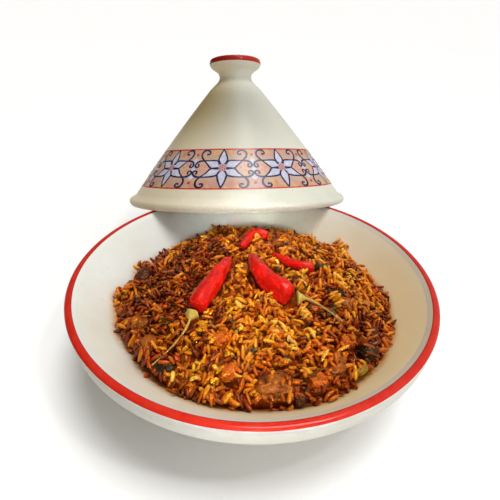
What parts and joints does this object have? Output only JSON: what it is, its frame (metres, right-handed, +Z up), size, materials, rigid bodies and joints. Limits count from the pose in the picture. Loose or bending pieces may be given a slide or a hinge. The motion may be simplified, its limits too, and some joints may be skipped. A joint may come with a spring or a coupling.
{
  "type": "dish of spiced rice with conical lid",
  "caption": "Deep glazed serving dish of spiced long-grain rice with red chillies, meat and vegetable pieces, its conical lid leaning on the back of the rim.",
  "frame": {"origin": "the centre of the whole's bounding box in plan, on the surface that the dish stands on", "axes": "+Z is up; the dish is toward -Y and the lid leans away toward +Y; +X is to the right as seen from the dish's side"},
  "size_m": [0.3, 0.463, 0.2101],
  "materials": {
    "glazed_dish": "glossy cream glaze over fired clay, with a painted red band round the rim",
    "glazed_lid": "glossy cream glaze over fired clay, with a painted band of flowers and scrolls",
    "rice": "cooked long-grain rice, stained golden orange and brown with spice and oil",
    "chilli_skin": "glossy, softly wrinkled red skin",
    "chilli_stalk": "pale green calyx and dry straw-coloured stalk",
    "meat": "browned, fibrous and oily",
    "aubergine": "dark, soft and oily",
    "carrot": "cooked orange, slightly glossy",
    "olive": "dark and glossy",
    "bean": "cooked yellow-green pod",
    "prune": "dark brown, wrinkled and oily"
  },
  "bodies": {
    "root": {"dish": "glazed_dish", "lid": "glazed_lid", "rice_heap": "rice", "chilli_left_pod": "chilli_skin", "chilli_left_stalk": "chilli_stalk", "chilli_middle_pod": "chilli_skin", "chilli_middle_stalk": "chilli_stalk", "chilli_back_pod": "chilli_skin", "chilli_right_pod": "chilli_skin", "chilli_right_stalk": "chilli_stalk", "meat_front": "meat", "aubergine_front": "aubergine", "carrot_front": "carrot", "meat_front_right": "meat", "olive_right": "olive", "aubergine_right": "aubergine", "bean_right": "bean", "carrot_right": "carrot", "prune_left": "prune", "olive_middle": "olive", "meat_right": "meat", "meat_back": "meat", "meat_middle": "meat", "aubergine_middle": "aubergine", "carrot_middle": "carrot", "carrot_left": "carrot", "carrot_near": "carrot", "meat_left_near": "meat", "meat_left": "meat", "olive_left": "olive"}
  },
  "joints": []
}
